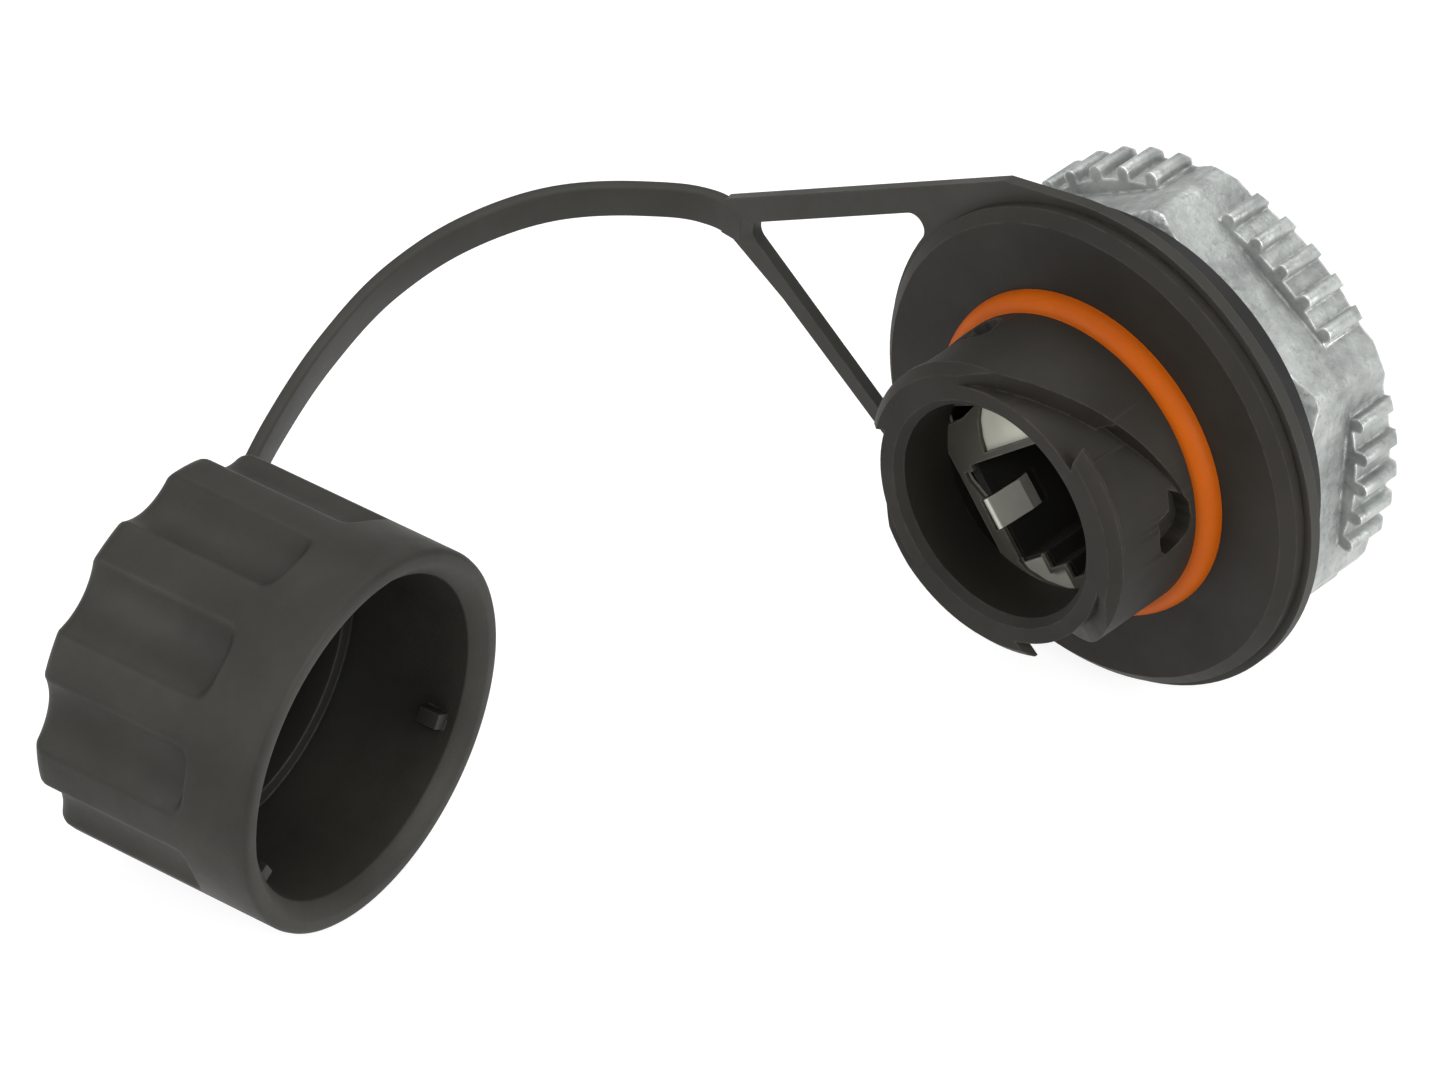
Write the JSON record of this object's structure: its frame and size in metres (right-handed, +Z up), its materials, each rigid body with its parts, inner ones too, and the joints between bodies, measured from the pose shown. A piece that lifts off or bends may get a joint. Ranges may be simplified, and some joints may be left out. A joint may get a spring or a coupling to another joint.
{
  "type": "panel data socket with tethered cap",
  "caption": "Round bayonet panel socket for a modular data plug, with orange mouth seal, ribbed metal locknut and a sealing cap on a tether strap.",
  "frame": {"origin": "on the socket's axis, in the plane where the gasket meets the panel", "axes": "+Y along the socket's axis from its mouth to its rear, +Z up as it lies, +X across, away from the tether's fork"},
  "size_m": [0.0789, 0.1002, 0.044],
  "materials": {
    "housing_plastic": "satin black moulding",
    "insert_plastic": "satin",
    "contact_gold": "gold flash",
    "nickel": "nickel plated",
    "spring_steel": "dark phosphate",
    "orange_silicone": "silicone rubber",
    "gasket_rubber": "matte rubber",
    "washer_plastic": "satin",
    "cast_zinc": "as-cast zinc alloy",
    "tether_rubber": "matte elastomer",
    "cap_plastic": "fine-textured moulding"
  },
  "bodies": {
    "socket": {"housing": "housing_plastic", "front_plate": "insert_plastic", "shield_plate": "nickel", "jack_block": "insert_plastic", "rear_block": "insert_plastic", "contact_1": "contact_gold", "contact_2": "contact_gold", "contact_3": "contact_gold", "contact_4": "contact_gold", "contact_5": "contact_gold", "contact_6": "contact_gold", "contact_7": "contact_gold", "contact_8": "contact_gold", "shield_sleeve": "nickel", "retaining_ring": "spring_steel", "tube_seal": "orange_silicone", "panel_gasket": "gasket_rubber"},
    "tether": {"tether_ring": "tether_rubber"},
    "strap": {"tether_strap": "tether_rubber"},
    "cap": {"sealing_cap": "cap_plastic", "cap_seal": "gasket_rubber"},
    "washer": {"slip_washer": "washer_plastic"},
    "nut": {"locknut": "cast_zinc"},
    "spring_left": {"side_spring_left": "nickel"},
    "spring_right": {"side_spring_right": "nickel"}
  },
  "joints": [
    {"name": "tether_swivel", "type": "hinge", "parent": "socket", "child": "tether", "pos_m": [0, -0.0028, 0], "axis": [0, 1, 0], "continuous": true},
    {"name": "strap_flex", "type": "hinge", "parent": "tether", "child": "strap", "pos_m": [-0.04096, -0.0028, 0.00179], "axis": [0, -0.111, 0.9938], "range_deg": [-25, 25], "stiffness_Nm_per_rad": 0.01},
    {"name": "cap_swivel", "type": "hinge", "parent": "strap", "child": "cap", "pos_m": [-0.0201, -0.0671, -0.00565], "axis": [-0.9945, -0.1045, 0], "continuous": true},
    {"name": "nut_travel", "type": "slide", "parent": "socket", "child": "washer", "axis": [0, 1, 0], "range_m": [0, 0.006]},
    {"name": "nut_turn", "type": "hinge", "parent": "washer", "child": "nut", "pos_m": [0, 0.0062, 0], "axis": [0, 1, 0], "range_deg": [0, 1440]},
    {"name": "spring_left_flex", "type": "hinge", "parent": "socket", "child": "spring_left", "pos_m": [-0.00436, -0.0107, -0.00558], "axis": [-0.6561, 0, 0.7547], "range_deg": [0, 8], "stiffness_Nm_per_rad": 0.002, "springref_deg": -1.15},
    {"name": "spring_right_flex", "type": "hinge", "parent": "socket", "child": "spring_right", "pos_m": [0.00613, -0.0107, 0.00354], "axis": [0.6561, 0, -0.7547], "range_deg": [0, 8], "stiffness_Nm_per_rad": 0.002, "springref_deg": -1.15}
  ],
  "couplings": [
    {"joint": "nut_travel", "follows": "nut_turn", "m_per_rad": 0.0002387}
  ]
}
